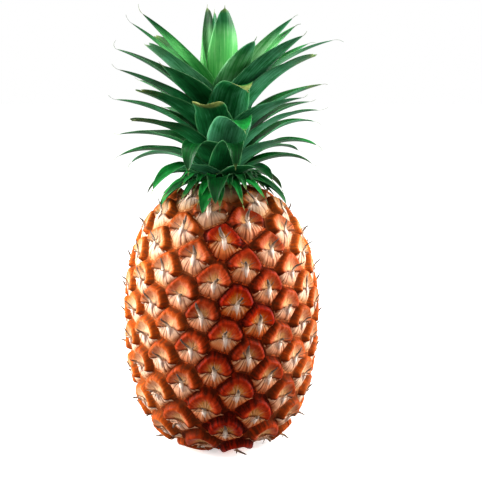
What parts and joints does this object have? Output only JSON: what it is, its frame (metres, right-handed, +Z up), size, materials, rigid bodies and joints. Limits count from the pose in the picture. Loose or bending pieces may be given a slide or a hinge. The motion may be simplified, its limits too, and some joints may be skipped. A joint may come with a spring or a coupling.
{
  "type": "pineapple",
  "caption": "Whole ripe pineapple standing upright: barrel-shaped fruit covered in raised eyes, topped by a crown of long channelled green leaves.",
  "frame": {"origin": "middle of the small flat spot the fruit stands on", "axes": "+Z up along the fruit's axis towards the crown; -Y is the side shown to the viewer, +X to the viewer's right"},
  "size_m": [0.1327, 0.1259, 0.268],
  "materials": {
    "rind": "waxy, glossy on the domes of the eyes and papery dry on the bracts",
    "stem_tissue": "matt, fibrous green-white plant tissue",
    "leaf": "satin, waxy leaf with a grey bloom and fine lengthwise veins"
  },
  "bodies": {
    "root": {"fruit": "rind", "crown_stem": "stem_tissue", "leaf_01": "leaf", "leaf_02": "leaf", "leaf_03": "leaf", "leaf_04": "leaf", "leaf_05": "leaf", "leaf_06": "leaf", "leaf_07": "leaf", "leaf_08": "leaf", "leaf_09": "leaf", "leaf_10": "leaf", "leaf_11": "leaf", "leaf_12": "leaf", "leaf_13": "leaf", "leaf_14": "leaf", "leaf_15": "leaf", "leaf_16": "leaf", "leaf_17": "leaf", "leaf_18": "leaf", "leaf_19": "leaf", "leaf_20": "leaf", "leaf_21": "leaf", "leaf_22": "leaf", "leaf_23": "leaf", "leaf_24": "leaf", "leaf_25": "leaf", "leaf_26": "leaf", "leaf_27": "leaf", "leaf_28": "leaf", "leaf_29": "leaf", "leaf_30": "leaf", "leaf_31": "leaf", "leaf_32": "leaf", "leaf_33": "leaf", "leaf_34": "leaf", "leaf_35": "leaf", "leaf_36": "leaf", "leaf_37": "leaf", "leaf_38": "leaf", "leaf_39": "leaf", "leaf_40": "leaf", "leaf_41": "leaf", "leaf_42": "leaf", "leaf_43": "leaf", "leaf_44": "leaf", "leaf_45": "leaf", "leaf_46": "leaf", "leaf_47": "leaf", "leaf_48": "leaf", "leaf_49": "leaf", "leaf_50": "leaf", "leaf_51": "leaf", "leaf_52": "leaf", "leaf_53": "leaf", "leaf_54": "leaf", "leaf_55": "leaf", "leaf_56": "leaf", "leaf_57": "leaf", "leaf_58": "leaf"}
  },
  "joints": []
}
